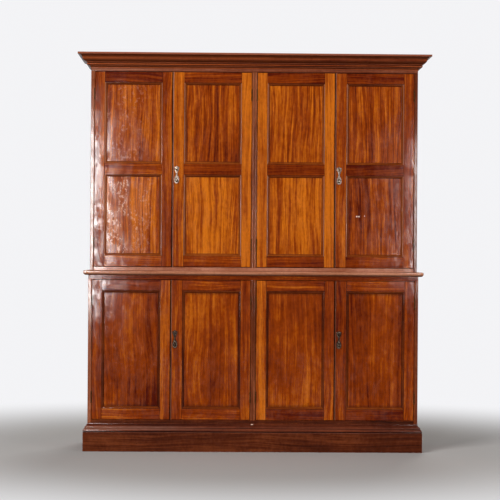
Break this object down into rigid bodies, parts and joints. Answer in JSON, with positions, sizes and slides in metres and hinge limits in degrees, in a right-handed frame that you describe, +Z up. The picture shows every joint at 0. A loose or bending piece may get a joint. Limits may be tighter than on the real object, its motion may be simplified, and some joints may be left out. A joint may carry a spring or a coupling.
{
  "type": "linen press",
  "caption": "Large two-stage mahogany linen press with panelled doors above and below, moulded cornice, waist and plinth, brass drop handles and shelves.",
  "frame": {"origin": "on the floor, at the middle of the overall box", "axes": "+X to the right as seen from the front, -Y out of the doors, +Z up"},
  "size_m": [1.907, 0.569, 2.15],
  "materials": {
    "mahogany": "gloss",
    "dark_mahogany": "gloss",
    "pine": "matte",
    "brass": "satin",
    "iron": "satin"
  },
  "bodies": {
    "carcass": {"plinth_boards": "dark_mahogany", "plinth_bearers": "pine", "base_moulding": "dark_mahogany", "lower_sides": "mahogany", "lower_top_and_bottom": "mahogany", "lower_division": "mahogany", "waist_moulding": "dark_mahogany", "upper_sides": "mahogany", "upper_top_and_bottom": "mahogany", "upper_division": "mahogany", "back_boards": "pine", "shelves": "pine", "shelf_strips": "pine", "cornice_moulding": "dark_mahogany", "cornice_frame": "pine", "hinge_fixed_leaves": "brass"},
    "lower_door_1": {"lower_door_1_frame": "mahogany", "lower_door_1_panels": "mahogany", "lower_door_1_hinge_leaves": "brass"},
    "lower_door_1_flush_bolt": {"lower_door_1_flush_bolt": "iron"},
    "lower_door_2": {"lower_door_2_frame": "mahogany", "lower_door_2_panels": "mahogany", "lower_door_2_hinge_leaves": "brass", "lower_door_2_handle_plate": "brass", "lower_door_2_lock_case": "iron"},
    "lower_door_2_drop_handle": {"lower_door_2_drop_handle": "brass"},
    "lower_door_2_lock_bolt": {"lower_door_2_lock_bolt": "iron"},
    "lower_door_3": {"lower_door_3_frame": "mahogany", "lower_door_3_panels": "mahogany", "lower_door_3_hinge_leaves": "brass"},
    "lower_door_3_flush_bolt": {"lower_door_3_flush_bolt": "iron"},
    "lower_door_4": {"lower_door_4_frame": "mahogany", "lower_door_4_panels": "mahogany", "lower_door_4_hinge_leaves": "brass", "lower_door_4_handle_plate": "brass", "lower_door_4_lock_case": "iron"},
    "lower_door_4_drop_handle": {"lower_door_4_drop_handle": "brass"},
    "lower_door_4_lock_bolt": {"lower_door_4_lock_bolt": "iron"},
    "upper_door_1": {"upper_door_1_frame": "mahogany", "upper_door_1_panels": "mahogany", "upper_door_1_hinge_leaves": "brass"},
    "upper_door_1_flush_bolt": {"upper_door_1_flush_bolt": "iron"},
    "upper_door_2": {"upper_door_2_frame": "mahogany", "upper_door_2_panels": "mahogany", "upper_door_2_hinge_leaves": "brass", "upper_door_2_handle_plate": "brass", "upper_door_2_lock_case": "iron"},
    "upper_door_2_drop_handle": {"upper_door_2_drop_handle": "brass"},
    "upper_door_2_lock_bolt": {"upper_door_2_lock_bolt": "iron"},
    "upper_door_3": {"upper_door_3_frame": "mahogany", "upper_door_3_panels": "mahogany", "upper_door_3_hinge_leaves": "brass"},
    "upper_door_3_flush_bolt": {"upper_door_3_flush_bolt": "iron"},
    "upper_door_4": {"upper_door_4_frame": "mahogany", "upper_door_4_panels": "mahogany", "upper_door_4_hinge_leaves": "brass", "upper_door_4_handle_plate": "brass", "upper_door_4_lock_case": "iron"},
    "upper_door_4_drop_handle": {"upper_door_4_drop_handle": "brass"},
    "upper_door_4_lock_bolt": {"upper_door_4_lock_bolt": "iron"}
  },
  "joints": [
    {"name": "lower_door_1_hinge", "type": "hinge", "parent": "carcass", "child": "lower_door_1", "pos_m": [-0.8727, -0.2257, 0.549], "axis": [0, 0, -1], "range_deg": [0, 170]},
    {"name": "lower_door_1_bolt_slide", "type": "slide", "parent": "lower_door_1", "child": "lower_door_1_flush_bolt", "axis": [0, 0, 1], "range_m": [0, 0.01]},
    {"name": "lower_door_2_hinge", "type": "hinge", "parent": "carcass", "child": "lower_door_2", "pos_m": [-0.0148, -0.2257, 0.549], "axis": [0, 0, 1], "range_deg": [0, 85]},
    {"name": "lower_door_2_drop_pivot", "type": "hinge", "parent": "lower_door_2", "child": "lower_door_2_drop_handle", "pos_m": [-0.42355, -0.23, 0.60856], "axis": [-1, 0, 0], "range_deg": [0, 85]},
    {"name": "lower_door_2_lock_slide", "type": "slide", "parent": "lower_door_2", "child": "lower_door_2_lock_bolt", "axis": [-1, 0, 0], "range_m": [0, 0.016]},
    {"name": "lower_door_3_hinge", "type": "hinge", "parent": "carcass", "child": "lower_door_3", "pos_m": [0.0148, -0.2257, 0.549], "axis": [0, 0, -1], "range_deg": [0, 85]},
    {"name": "lower_door_3_bolt_slide", "type": "slide", "parent": "lower_door_3", "child": "lower_door_3_flush_bolt", "axis": [0, 0, 1], "range_m": [0, 0.01]},
    {"name": "lower_door_4_hinge", "type": "hinge", "parent": "carcass", "child": "lower_door_4", "pos_m": [0.8727, -0.2257, 0.549], "axis": [0, 0, 1], "range_deg": [0, 170]},
    {"name": "lower_door_4_drop_pivot", "type": "hinge", "parent": "lower_door_4", "child": "lower_door_4_drop_handle", "pos_m": [0.46395, -0.23, 0.60856], "axis": [-1, 0, 0], "range_deg": [0, 85]},
    {"name": "lower_door_4_lock_slide", "type": "slide", "parent": "lower_door_4", "child": "lower_door_4_lock_bolt", "axis": [-1, 0, 0], "range_m": [0, 0.016]},
    {"name": "upper_door_1_hinge", "type": "hinge", "parent": "carcass", "child": "upper_door_1", "pos_m": [-0.8647, -0.2177, 1.5245], "axis": [0, 0, -1], "range_deg": [0, 170]},
    {"name": "upper_door_1_bolt_slide", "type": "slide", "parent": "upper_door_1", "child": "upper_door_1_flush_bolt", "axis": [0, 0, 1], "range_m": [0, 0.01]},
    {"name": "upper_door_2_hinge", "type": "hinge", "parent": "carcass", "child": "upper_door_2", "pos_m": [-0.0148, -0.2177, 1.5245], "axis": [0, 0, 1], "range_deg": [0, 85]},
    {"name": "upper_door_2_drop_pivot", "type": "hinge", "parent": "upper_door_2", "child": "upper_door_2_drop_handle", "pos_m": [-0.41955, -0.222, 1.4977], "axis": [-1, 0, 0], "range_deg": [0, 85]},
    {"name": "upper_door_2_lock_slide", "type": "slide", "parent": "upper_door_2", "child": "upper_door_2_lock_bolt", "axis": [-1, 0, 0], "range_m": [0, 0.016]},
    {"name": "upper_door_3_hinge", "type": "hinge", "parent": "carcass", "child": "upper_door_3", "pos_m": [0.0148, -0.2177, 1.5245], "axis": [0, 0, -1], "range_deg": [0, 85]},
    {"name": "upper_door_3_bolt_slide", "type": "slide", "parent": "upper_door_3", "child": "upper_door_3_flush_bolt", "axis": [0, 0, 1], "range_m": [0, 0.01]},
    {"name": "upper_door_4_hinge", "type": "hinge", "parent": "carcass", "child": "upper_door_4", "pos_m": [0.8647, -0.2177, 1.5245], "axis": [0, 0, 1], "range_deg": [0, 170]},
    {"name": "upper_door_4_drop_pivot", "type": "hinge", "parent": "upper_door_4", "child": "upper_door_4_drop_handle", "pos_m": [0.45995, -0.222, 1.4977], "axis": [-1, 0, 0], "range_deg": [0, 85]},
    {"name": "upper_door_4_lock_slide", "type": "slide", "parent": "upper_door_4", "child": "upper_door_4_lock_bolt", "axis": [-1, 0, 0], "range_m": [0, 0.016]}
  ]
}
